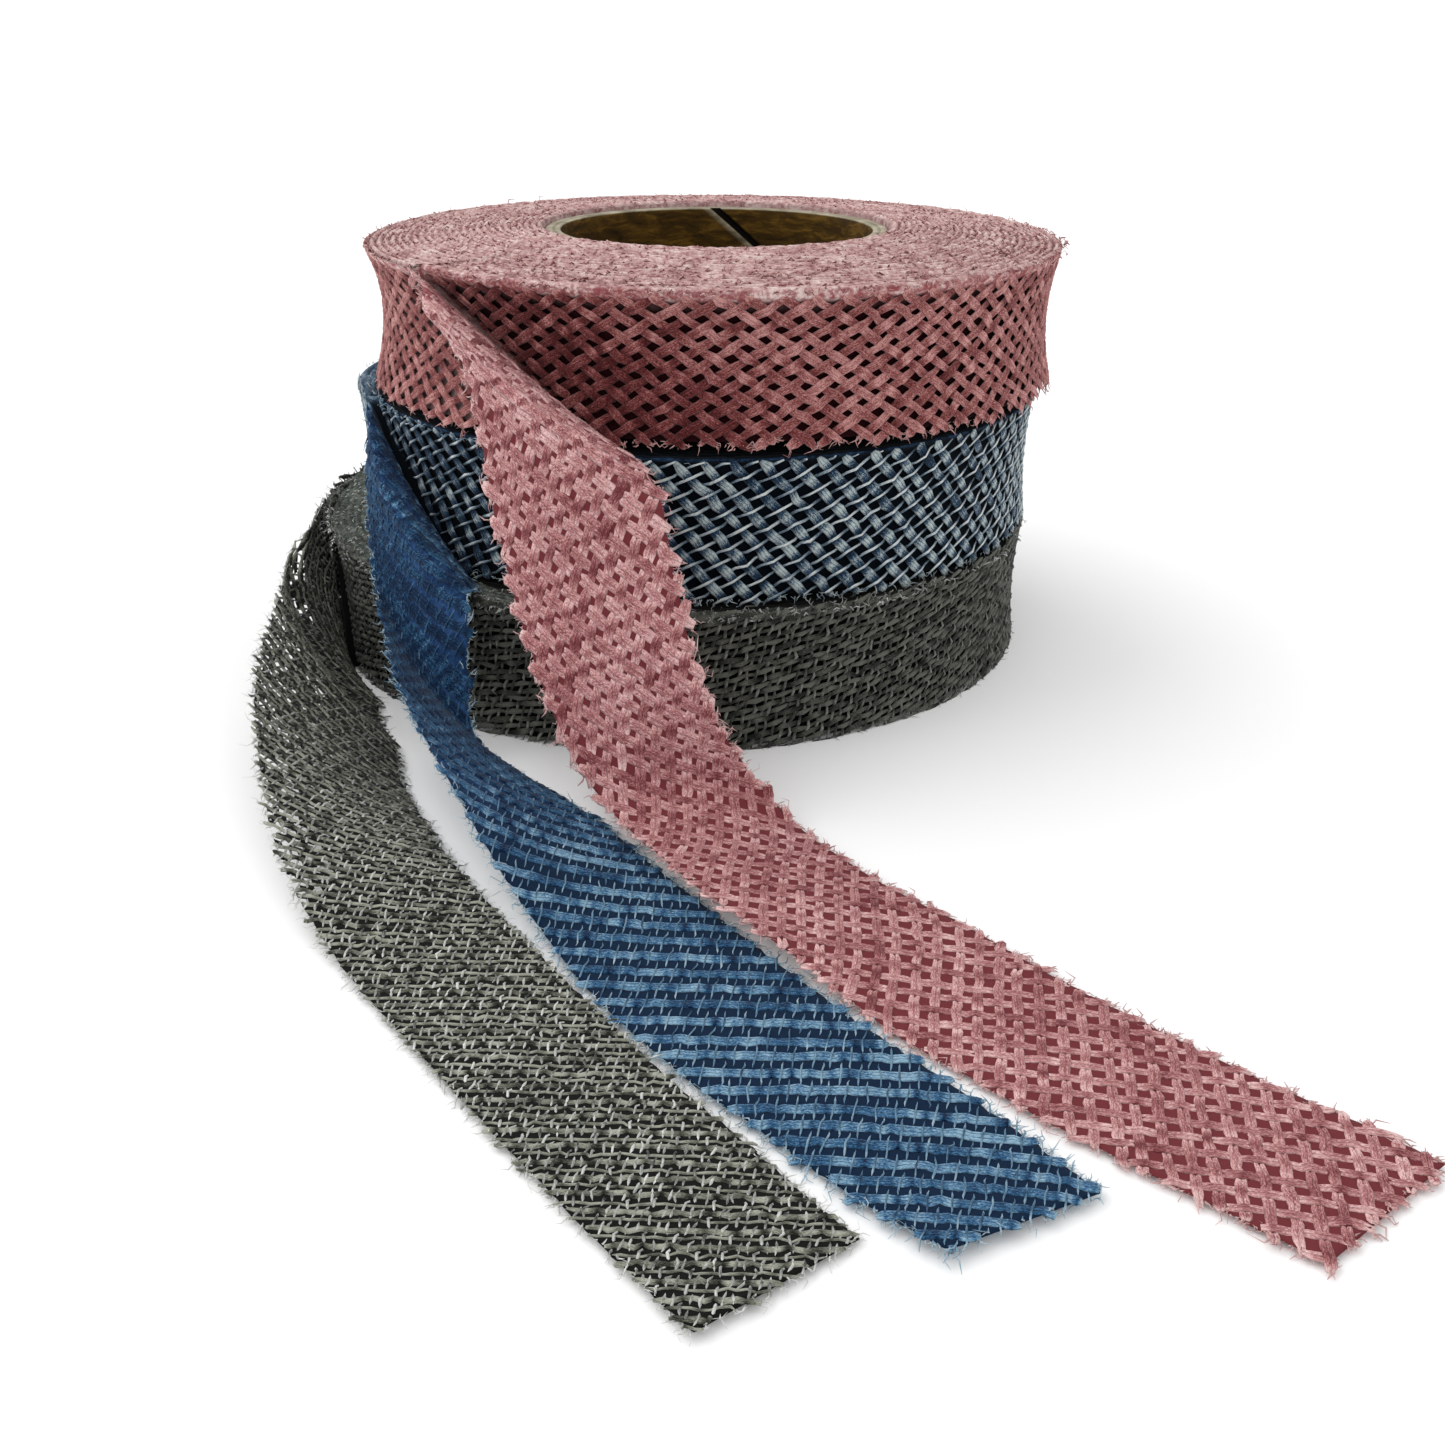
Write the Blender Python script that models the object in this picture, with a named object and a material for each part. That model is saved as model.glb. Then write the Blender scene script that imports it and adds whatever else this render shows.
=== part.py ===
# Three rolls of bias-cut cotton strip, stacked flat side down, each with its loose end
# turned over at the left, hanging to the table and lying towards the front right.
# Tables and sizes are in millimetres; MM turns them into metres.
# Angles are in degrees, counted anticlockwise from +X as seen from above.
import math

import bmesh
import bpy
import numpy as np

MM = 0.001
STRIP_WIDTH = 16.0
CLOTH = 1.0
GAP = 0.3

# The stack's axis, the pink roll's own, stands here from the origin.
STACK_X = -0.03
STACK_Y = 40.69

CORE_INNER = 19.0
CORE_WALL = 1.9
CORE_RADIUS = CORE_INNER + CORE_WALL
CORE_INSET = 0.3
CORE_CHAMFER = 0.3

ROLL_COLUMNS = 72
BORE_RADIUS = CORE_RADIUS + GAP
STEP = CLOTH + GAP
STEP_RUN = 0.6
WALL_SHARES = (0.0, 0.17, 0.33, 0.5, 0.67, 0.83, 1.0)

# The faces of a roll: the width of the rounded band under its foot and over its top edge,
# and how much the turns there stand above or below the strip's own edges.
FOOT_BAND = 7.0
TOP_BAND = 2.5
TOP_SWELL = 0.1
BORE_LIFT = 0.3
CROWN_HALFWAY = 0.6

# How far a column of the roll follows the slanting line where the loose end leaves: not
# at the bore, partly halfway out, and nearly in full at the two bands.
SLANT_HALFWAY = 0.4
SLANT_FOOT = 0.8
SLANT_TOP = 0.9

# One row for each roll. x, y: its axis from the stack's axis. radius: at the rim.
# base: height of its underside. dip: how far the wall draws in between its rims.
# rim: how much higher the rim of the underside sits. crown: how much higher the top
# face stands at the bore. leave_top, leave_foot: the angles at which the outermost turn
# leaves the wall, at its top edge and at its bottom edge. Its weight draws the wall in by
# a further PULL times the dip there, which dies away over PULL_REACH degrees.
ROLLS = {
    "pink": dict(x=0.0, y=0.0, radius=42.7, base=32.6, dip=1.1, rim=0.7, crown=1.4,
                 leave_top=219.0, leave_foot=252.6),
    "blue": dict(x=-1.5, y=-0.1, radius=42.4, base=16.3, dip=0.6, rim=0.0, crown=0.0,
                 leave_top=198.5, leave_foot=229.5),
    "gray": dict(x=-5.3, y=0.0, radius=46.0, base=0.0, dip=0.6, rim=0.0, crown=0.0,
                 leave_top=184.0, leave_foot=210.0),
}
PULL = 0.9
PULL_REACH = 50.0

# The turn-over. top, foot: how thick the soft fold is at the strip's top edge and at its
# bottom edge, from cloth middle to cloth middle. bulge: how far its middle stands off the
# wall once it has turned over. top_drop, foot_drop: how far each edge has come down by
# then. free: how far the strip runs on straight, off the wall, before it turns, and
# stand: how far its middle stands off there. top_slip, foot_slip: how far each edge has
# moved on along the wall in the turn-over. LEAD: how far it keeps off the roll's own step,
# and EDGE_IN: how much lower its edges start than the roll's rims.
# The slips and drops grow with the share of the half turn raised to DROP_POWER.
LEAD = GAP + 0.1
EDGE_IN = 0.1
DROP_POWER = 1.5
FOLDS = {
    "pink": dict(free=0.4, stand=0.0, bulge=1.0, top=2.2, top_slip=5.0, top_drop=2.8,
                 foot=4.2, foot_slip=6.0, foot_drop=1.5),
    "blue": dict(free=0.4, stand=0.0, bulge=0.8, top=2.0, top_slip=3.4, top_drop=2.5,
                 foot=5.6, foot_slip=6.0, foot_drop=-1.0),
    "gray": dict(free=9.0, stand=3.0, bulge=3.5, top=2.6, top_slip=3.0, top_drop=1.5,
                 foot=3.4, foot_slip=6.0, foot_drop=0.0),
}

# The loose ends past the turn-over, a row for each section across the strip, measured
# from the stack's axis. left: the edge that was the strip's top edge. right: the edge
# that was its bottom edge. bow: how far the middle bulges away from the stack.
# Columns: left x, y, z; right x, y, z; bow.
LIES = CLOTH / 2
TAILS = {
    "pink": [
        (-27.0, -36.0, 42.6, -5.2, -47.7, 29.5, 2.4),
        (-25.3, -37.8, 36.5, -4.6, -49.6, 26.0, 2.2),
        (-23.0, -42.5, 25.5, -3.5, -52.5, 22.0, 1.2),
        (-19.0, -50.5, 14.0, -2.0, -56.0, 16.0, 0.5),
        (-14.5, -57.5, 6.0, 0.5, -58.5, 10.0, 0.0),
        (-10.5, -62.5, 2.4, 4.5, -59.5, 4.0, 0.0),
        (-6.0, -69.5, 2.0, 8.0, -62.0, 1.0, 0.0),
        (-1.5, -76.5, 2.0, 11.8, -67.5, LIES, 0.0),
        (3.5, -83.0, 2.0, 16.3, -73.5, LIES, 0.0),
        (8.8, -89.3, 1.2, 21.7, -79.2, LIES, 0.0),
        (13.8, -95.6, LIES, 26.5, -85.1, LIES, 0.0),
        (19.2, -101.3, LIES, 31.4, -90.8, LIES, 0.0),
        (24.3, -106.6, LIES, 36.7, -96.4, LIES, 0.0),
        (29.5, -111.3, LIES, 42.2, -101.8, LIES, 0.0),
        (34.9, -116.1, LIES, 47.6, -106.6, LIES, 0.0),
        (40.3, -121.0, LIES, 52.3, -111.2, LIES, 0.0),
    ],
    "blue": [
        (-40.8, -20.5, 25.5, -26.2, -42.6, 14.5, 2.0),
        (-39.3, -28.0, 20.0, -26.4, -45.0, 8.5, 1.8),
        (-36.8, -38.0, 14.8, -25.4, -48.4, 3.5, 1.2),
        (-32.7, -50.8, 10.7, -20.0, -52.0, 0.9, 0.6),
        (-27.3, -62.0, 8.0, -15.0, -56.8, LIES, 0.3),
        (-23.0, -70.0, 5.8, -10.8, -62.0, LIES, 0.2),
        (-18.9, -77.0, 3.2, -6.6, -68.4, LIES, 0.0),
        (-14.6, -83.4, 1.0, -2.0, -75.1, LIES, 0.0),
        (-10.7, -90.0, LIES, 2.6, -81.8, LIES, 0.0),
        (-6.5, -96.2, LIES, 7.2, -88.3, LIES, 0.0),
        (-2.2, -101.8, LIES, 12.2, -94.9, LIES, 0.0),
        (3.0, -107.3, LIES, 17.6, -101.5, LIES, 0.0),
        (8.6, -113.6, LIES, 22.6, -108.0, LIES, 0.0),
        (15.6, -120.4, 1.2, 27.0, -114.6, 0.8, 0.0),
    ],
    "gray": [
        (-50.2, -28.0, 13.2, -35.0, -44.5, 0.9, 1.6),
        (-49.6, -43.0, 9.6, -32.6, -52.9, LIES, 0.8),
        (-45.9, -57.8, 6.5, -29.4, -60.0, LIES, 0.4),
        (-41.0, -71.5, 4.0, -26.0, -67.0, LIES, 0.2),
        (-36.8, -79.4, 2.2, -21.9, -74.0, LIES, 0.0),
        (-32.4, -85.9, 0.8, -17.4, -81.1, LIES, 0.0),
        (-27.8, -92.3, LIES, -12.6, -88.2, LIES, 0.0),
        (-23.1, -98.6, LIES, -7.7, -95.3, LIES, 0.0),
        (-18.3, -105.0, LIES, -2.8, -102.2, LIES, 0.0),
        (-13.3, -111.6, LIES, 2.3, -108.6, LIES, 0.0),
        (-7.9, -118.5, LIES, 6.8, -114.6, LIES, 0.0),
        (-1.0, -127.0, 0.8, 10.2, -118.6, LIES, 0.0),
    ],
}
TAIL_ACROSS = 6
TAIL_STEP = 2.4

COLOURS = {
    "pink": ((0.45, 0.15, 0.18), 0.9),
    "blue": ((0.04, 0.13, 0.27), 0.9),
    "gray": ((0.09, 0.10, 0.08), 0.95),
    "card": ((0.20, 0.13, 0.06), 0.85),
}


def clear_scene():
    for item in list(bpy.data.objects):
        bpy.data.objects.remove(item)


def plain_material(name):
    colour, roughness = COLOURS[name]
    material = bpy.data.materials.new(name)
    material.use_nodes = True
    shader = material.node_tree.nodes["Principled BSDF"]
    shader.inputs["Base Color"].default_value = (*colour, 1.0)
    shader.inputs["Roughness"].default_value = roughness
    shader.inputs["Metallic"].default_value = 0.0
    return material


def add_piece(name, points, faces, material):
    """Makes one closed solid from points in millimetres about the stack's axis."""
    mesh = bpy.data.meshes.new(name)
    placed = (np.asarray(points) + (STACK_X, STACK_Y, 0.0)) * MM
    mesh.from_pydata(placed.tolist(), [], faces)
    shape = bmesh.new()
    shape.from_mesh(mesh)
    bmesh.ops.recalc_face_normals(shape, faces=shape.faces[:])
    bmesh.ops.triangulate(shape, faces=shape.faces[:])
    shape.to_mesh(mesh)
    shape.free()
    mesh.materials.append(material)
    mesh.shade_smooth()
    mesh.set_sharp_from_angle(angle=math.radians(40))
    piece = bpy.data.objects.new(name, mesh)
    bpy.context.scene.collection.objects.link(piece)
    return piece


def wrap_faces(columns, rows):
    """Joins columns of points, each a closed loop of rows points, all the way round."""
    faces = []
    for column in range(columns):
        after = (column + 1) % columns
        for row in range(rows):
            above = (row + 1) % rows
            faces.append((column * rows + row, after * rows + row,
                          after * rows + above, column * rows + above))
    return faces


def leaving_angle(roll, height):
    """Where the outermost turn leaves the wall, height running from 0 at the foot to 1."""
    return roll["leave_foot"] + (roll["leave_top"] - roll["leave_foot"]) * height


def roll_profile(roll):
    """One half-section of a roll, from the bore's foot round by the wall to the bore's top.

    Each point is (radius, or None on the wall; height share; height; slant).
    """
    radius, rim, crown = roll["radius"], roll["rim"], roll["crown"]
    middle = (BORE_RADIUS + radius) / 2
    section = [
        (BORE_RADIUS, 0.0, BORE_LIFT, 0.0),
        (middle, 0.0, 0.0, SLANT_HALFWAY),
        (radius - FOOT_BAND, 0.0, rim, SLANT_FOOT),
    ]
    for share in WALL_SHARES:
        section.append((None, share, rim + (STRIP_WIDTH - rim) * share, 1.0))
    section += [
        (radius - TOP_BAND, 1.0, STRIP_WIDTH + TOP_SWELL, SLANT_TOP),
        (middle, 1.0, STRIP_WIDTH + crown * CROWN_HALFWAY, SLANT_HALFWAY),
        (BORE_RADIUS, 1.0, STRIP_WIDTH + crown, 0.0),
    ]
    return section


def wound_roll(name, roll, material):
    """A wound roll: its wall is a spiral that grows by one layer in a turn.

    The wall falls back by one layer along the slanting line where the loose end leaves it.
    """
    section = roll_profile(roll)
    ramp = math.degrees(STEP_RUN / roll["radius"])
    points = []
    for turn in np.linspace(0.0, 360.0 - ramp, ROLL_COLUMNS):
        pull = PULL * math.exp(-((min(turn, 360.0 - turn) / PULL_REACH) ** 2))
        for radius, share, height, slant in section:
            angle = math.radians(leaving_angle(roll, 0.5 + (share - 0.5) * slant) + turn)
            if radius is None:
                drawn_in = roll["dip"] * (1 + pull) * (1 - (2 * share - 1) ** 2)
                radius = roll["radius"] - STEP * (1 - turn / 360.0) - drawn_in
            points.append((roll["x"] + radius * math.cos(angle),
                           roll["y"] + radius * math.sin(angle),
                           roll["base"] + height))
    return add_piece(name, points, wrap_faces(ROLL_COLUMNS, len(section)), material)


def card_core(name, roll, material):
    """The cardboard tube that the strip is wound on."""
    foot = roll["base"] + CORE_INSET
    top = roll["base"] + STRIP_WIDTH + roll["crown"] - CORE_INSET
    section = [
        (CORE_INNER, foot), (CORE_RADIUS - CORE_CHAMFER, foot), (CORE_RADIUS, foot + CORE_CHAMFER),
        (CORE_RADIUS, top - CORE_CHAMFER), (CORE_RADIUS - CORE_CHAMFER, top), (CORE_INNER, top),
    ]
    points = []
    for angle in np.linspace(0.0, 2 * math.pi, ROLL_COLUMNS, endpoint=False):
        for radius, height in section:
            points.append((roll["x"] + radius * math.cos(angle),
                           roll["y"] + radius * math.sin(angle), height))
    return add_piece(name, points, wrap_faces(ROLL_COLUMNS, len(section)), material)


def wall_point(roll, angle, out, height):
    radius = roll["radius"] + out
    return (roll["x"] + radius * math.cos(math.radians(angle)),
            roll["y"] + radius * math.sin(math.radians(angle)),
            roll["base"] + height)


def turn_over(roll, fold):
    """Rows of the soft fold: the strip runs on along the wall, turns outwards and comes back.

    At each share of the half turn an edge stands fold/2 * sin further along the wall and
    fold/2 * (1 - cos) further out.
    """
    rows = []
    per_degree = roll["radius"] * math.pi / 180
    on_wall = -CLOTH / 2
    chord = math.radians((roll["leave_foot"] - roll["leave_top"]) / 2)
    sag = roll["radius"] * (1 - math.cos(chord))
    for share in (None, 0.0, 0.25, 0.5, 0.75, 1.0):
        bend = 0.0 if share is None else share * math.pi
        along = LEAD if share is None else LEAD + fold["free"]
        tangent = 0.0 if share is None else fold["free"] ** 2 / (2 * roll["radius"])
        bulge = 0.0 if share is None else (fold["stand"] + (fold["bulge"] - fold["stand"])
                                           * (1 - math.cos(bend)) / 2)
        turned = (bend / math.pi) ** DROP_POWER
        ends = []
        for edge, height in (("top", STRIP_WIDTH - EDGE_IN), ("foot", roll["rim"] + EDGE_IN)):
            reach = fold[edge] / 2
            shift = (along + reach * math.sin(bend) + fold[edge + "_slip"] * turned) / per_degree
            out = on_wall + tangent + reach * (1 - math.cos(bend))
            ends.extend(wall_point(roll, roll["leave_" + edge] + shift, out,
                                   height - fold[edge + "_drop"] * turned))
        bow = sag - roll["dip"] * (1 + PULL) * (1 - math.sin(bend / 2)) + bulge
        rows.append((*ends, bow))
    return rows


def smooth_rows(rows, step):
    """Carries the rows on one smooth curve: cubic pieces whose slopes come from the
    neighbouring rows, weighed by the distances between them, sampled about every step."""
    rows = np.array(rows, float)
    left, right = rows[:, 0:3], rows[:, 3:6]
    moved = (np.linalg.norm(np.diff(left, axis=0), axis=1)
             + np.linalg.norm(np.diff(right, axis=0), axis=1)) / 2
    knots = np.concatenate([[0.0], np.cumsum(moved)])
    slopes = np.gradient(rows, knots, axis=0)
    samples = []
    for index, length in enumerate(moved):
        pieces = max(1, round(length / step))
        for piece in range(pieces):
            share = piece / pieces
            start, end = rows[index], rows[index + 1]
            rise, fall = slopes[index] * length, slopes[index + 1] * length
            samples.append((2 * share**3 - 3 * share**2 + 1) * start
                           + (share**3 - 2 * share**2 + share) * rise
                           + (3 * share**2 - 2 * share**3) * end
                           + (share**3 - share**2) * fall)
    samples.append(rows[-1])
    return np.array(samples)


def cloth_grid(roll, rows):
    """The middle of the cloth: straight from edge to edge, bowed away from the stack."""
    across = np.linspace(0.0, 1.0, TAIL_ACROSS + 1)[None, :, None]
    left, right, bow = rows[:, None, 0:3], rows[:, None, 3:6], rows[:, None, 6:7]
    middle = (left + right) / 2 - (roll["x"], roll["y"], 0.0)
    outward = middle * (1.0, 1.0, 0.0)
    outward = outward / np.linalg.norm(outward, axis=2, keepdims=True)
    grid = left + (right - left) * across + outward * bow * 4 * across * (1 - across)
    grid[..., 2] = np.maximum(grid[..., 2], LIES)
    return grid


def loose_end(name, roll, fold, table, material):
    """The sheet from the leaving line to its cut end, half a thickness to either side."""
    rows = smooth_rows(turn_over(roll, fold) + [tuple(row) for row in table], TAIL_STEP)
    grid = cloth_grid(roll, rows)
    along = np.gradient(grid, axis=0)
    sideways = np.gradient(grid, axis=1)
    normal = np.cross(along, sideways)
    normal /= np.linalg.norm(normal, axis=2, keepdims=True)
    front = grid + normal * CLOTH / 2
    back = grid - normal * CLOTH / 2
    front[..., 2] = np.maximum(front[..., 2], 0.0)
    back[..., 2] = np.maximum(back[..., 2], 0.0)
    count, width = grid.shape[0], grid.shape[1]
    loops = np.concatenate([front, back[:, ::-1]], axis=1)
    points = loops.reshape(-1, 3)
    around = 2 * width
    faces = wrap_faces(count, around)[:(count - 1) * around]
    for start in (0, (count - 1) * around):
        for cell in range(width - 1):
            faces.append((start + cell, start + cell + 1,
                          start + around - 2 - cell, start + around - 1 - cell))
    return add_piece(name, points, faces, material)


def build():
    clear_scene()
    card = plain_material("card")
    for colour, roll in ROLLS.items():
        cloth = plain_material(colour)
        wound_roll(colour + "_roll", roll, cloth)
        loose_end(colour + "_tail", roll, FOLDS[colour], TAILS[colour], cloth)
    card_core("pink_core", ROLLS["pink"], card)


build()
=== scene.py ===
# Three rolls of chenille bias strip, stacked: soft cotton cloth cut on the bias, its cut edges
# frayed, wound edge-up, with the loose ends turned over and lying out on the table.
# Tables are in millimetres about the stack's axis and mm turns them into metres.
# Angles on the rolls are in degrees, anticlockwise from +X as seen from above.
import math

import bpy
import mathutils
import numpy as np
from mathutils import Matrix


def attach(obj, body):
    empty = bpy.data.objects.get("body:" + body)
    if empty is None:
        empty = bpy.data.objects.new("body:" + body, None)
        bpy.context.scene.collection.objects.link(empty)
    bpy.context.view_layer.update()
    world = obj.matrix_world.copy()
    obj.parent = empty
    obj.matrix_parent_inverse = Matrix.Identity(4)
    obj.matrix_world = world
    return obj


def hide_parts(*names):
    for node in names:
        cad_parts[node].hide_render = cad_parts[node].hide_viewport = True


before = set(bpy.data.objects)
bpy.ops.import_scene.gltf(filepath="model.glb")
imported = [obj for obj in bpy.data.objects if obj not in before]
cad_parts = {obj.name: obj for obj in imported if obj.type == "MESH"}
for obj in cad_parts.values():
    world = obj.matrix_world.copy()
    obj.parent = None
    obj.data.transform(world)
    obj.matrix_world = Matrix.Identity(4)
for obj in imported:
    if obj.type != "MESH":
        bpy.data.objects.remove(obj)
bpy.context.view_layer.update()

mm = 0.001
stack = dict(x=-0.03, y=40.69)  # the stack's axis from the origin
# The strip: its width, the cloth's thickness, the gap where it leaves, how far a turn steps in, the
# bore's radius, and how much deeper the wall dips near the leaving cloth, over how many degrees.
strip = dict(width=16.0, cloth=1.0, gap=0.3, layer=1.3, bore=21.2, pull=0.9, pullReach=50.0)
nearTop = 0.9 * strip["width"]  # from this height the roll above covers what lies under it

# focal and image are in the photo's pixels, the place in millimetres and the angles in radians.
photoCamera = dict(focal=1532.99, image=1445.0, sensor=36.0, x=-0.2416, y=-195.5056, z=74.5203,
                   yaw=0.0068, down=0.4387, roll=0.0063)


def addObject(name, data):
    # A new object of the scene, at the origin.
    made = bpy.data.objects.new(name, data)
    bpy.context.scene.collection.objects.link(made)
    return made


def turnedTo(right, up, back, place=(0.0, 0.0, 0.0)):
    # The matrix of something whose own X, Y and Z axes point these ways, standing at this place.
    columns = np.eye(4)
    columns[:3] = np.stack([right, up, back, place], axis=1)
    return mathutils.Matrix(columns.tolist())


def unit(vectors, least=0.0):
    # The same directions with a length of 1: each vector divided by its length.
    return vectors / (np.linalg.norm(vectors, axis=-1, keepdims=True) + least)


def addCamera(look):
    # Level axes turned by yaw and tipped down, then rolled about the line of sight.
    yaw, down, roll = look["yaw"], look["down"], look["roll"]
    ahead = np.array([math.sin(yaw) * math.cos(down), math.cos(yaw) * math.cos(down), -math.sin(down)])
    right = np.array([math.cos(yaw), -math.sin(yaw), 0.0])
    up = np.cross(right, ahead)
    turn = np.array([[math.cos(roll), math.sin(roll)], [-math.sin(roll), math.cos(roll)]])
    right, up = turn @ np.array([right, up])
    data = bpy.data.cameras.new("photo_camera")
    data.sensor_width = look["sensor"]
    data.lens = look["sensor"] * look["focal"] / look["image"]
    data.clip_start = 0.005
    data.clip_end = 20.0
    camera = addObject("photo_camera", data)
    place = np.array([look["x"] + stack["x"], look["y"] + stack["y"], look["z"]]) * mm
    camera.matrix_world = turnedTo(right, up, -ahead, place)
    bpy.context.scene.camera = camera


addCamera(photoCamera)
print("camera placed")


def srgb(code):
    # sRGB hex to linear: below 0.04045 a straight line, above it the 2.4 power curve.
    parts = np.array([int(code[i:i + 2], 16) / 255 for i in (1, 3, 5)])
    return (*np.where(parts <= 0.04045, parts / 12.92, ((parts + 0.055) / 1.055) ** 2.4), 1.0)


def addNode(tree, kind, inputs=None, out=0, stops=(), **settings):
    # One node with its settings. inputs maps a socket's name or number to a value or to another
    # node's output, stops are a ramp's places and hex colours, and out is the output handed back.
    node = tree.nodes.new("ShaderNode" + kind)
    for key, value in settings.items():
        setattr(node, key, value)
    for key, value in (inputs or {}).items():
        if isinstance(value, bpy.types.NodeSocket):
            tree.links.new(value, node.inputs[key])
        else:
            node.inputs[key].default_value = value
    if stops:
        elements = node.color_ramp.elements
        for element, (place, code) in zip(elements, (stops[0], stops[-1])):
            element.position, element.color = place, srgb(code)
        for place, code in stops[1:-1]:
            elements.new(place).color = srgb(code)
    return node.outputs[out]


inColour = dict(out=2, data_type="RGBA")  # a Mix node of two colours


def startMaterial(name, **constants):
    # A Principled material; its constant inputs are given by name, with _ for a space.
    material = bpy.data.materials.new(name)
    material.use_nodes = True
    shader = material.node_tree.nodes["Principled BSDF"]
    for key, value in constants.items():
        shader.inputs[key.replace("_", " ")].default_value = value
    return material, material.node_tree, shader


def softNoise(x, y, seed, size=1.0):
    # A sum of eight sine waves in chosen directions, about -1 to 1, size being the wave's length.
    waves = np.random.default_rng(seed)
    total = np.zeros(np.broadcast(x, y).shape)
    for turn, speed, phase in zip(waves.uniform(0, 2 * np.pi, 8), waves.uniform(0.6, 1.7, 8),
                                  waves.uniform(0, 2 * np.pi, 8)):
        total = total + np.sin(2 * np.pi * speed / size * (x * np.cos(turn) + y * np.sin(turn)) + phase)
    return total / 4


def addPiece(name, points, faces, material, slot, **attributes):
    # A mesh from points in millimetres about the stack's axis, with its values for each point.
    mesh = bpy.data.meshes.new(name)
    placed = (np.asarray(points, float) + (stack["x"], stack["y"], 0.0)) * mm
    placed[:, 2] = np.maximum(placed[:, 2], 0.02 * mm)
    mesh.from_pydata(placed.tolist(), [], faces)
    for key, values in attributes.items():
        values = np.asarray(values, np.float32)
        kind, field = ("FLOAT_VECTOR", "vector") if values.ndim == 2 else ("FLOAT", "value")
        mesh.attributes.new(key, kind, "POINT").data.foreach_set(field, values.ravel())
    mesh.shade_smooth()
    mesh.materials.append(material)
    piece = addObject(name, mesh)
    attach(piece, "root")
    print(name, sum(len(face) - 2 for face in faces), "triangles")
    return piece


# The rolls as in the part. The wall dips in between its rims, the top swells to a crown at the bore,
# lip is how far the wound edges pass the strip's width, and the cloth leaves between two angles.
rolls = {
    "pink": dict(x=0.0, y=0.0, radius=42.7, base=32.6, dip=1.1, rim=0.7, crown=1.4, lip=0.3,
                 leaveTop=219.0, leaveFoot=252.6, ease=0.0),
    "blue": dict(x=-1.5, y=-0.1, radius=42.4, base=16.3, dip=0.6, rim=0.0, crown=0.0, lip=-0.25,
                 leaveTop=198.5, leaveFoot=229.5, ease=1.4),
    "gray": dict(x=-5.3, y=0.0, radius=46.0, base=0.0, dip=0.6, rim=0.0, crown=0.0, lip=-0.25,
                 leaveTop=184.0, leaveFoot=210.0, ease=0.0),
}
# The turn-overs: cloth free of the wall and its bulge, then each edge's thickness, slip and drop.
folds = {
    "pink": dict(free=0.4, stand=0.0, bulge=1.0, top=2.2, topSlip=5.0, topDrop=2.8,
                 foot=4.2, footSlip=6.0, footDrop=1.5),
    "blue": dict(free=0.4, stand=0.0, bulge=0.8, top=1.1, topSlip=3.4, topDrop=2.5,
                 foot=5.6, footSlip=6.0, footDrop=-1.0),
    "gray": dict(free=9.0, stand=3.0, bulge=3.5, top=2.6, topSlip=3.0, topDrop=1.5,
                 foot=3.4, footSlip=6.0, footDrop=0.0),
}
lies = 0.5  # cloth lying on the table: its middle's height
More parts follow.
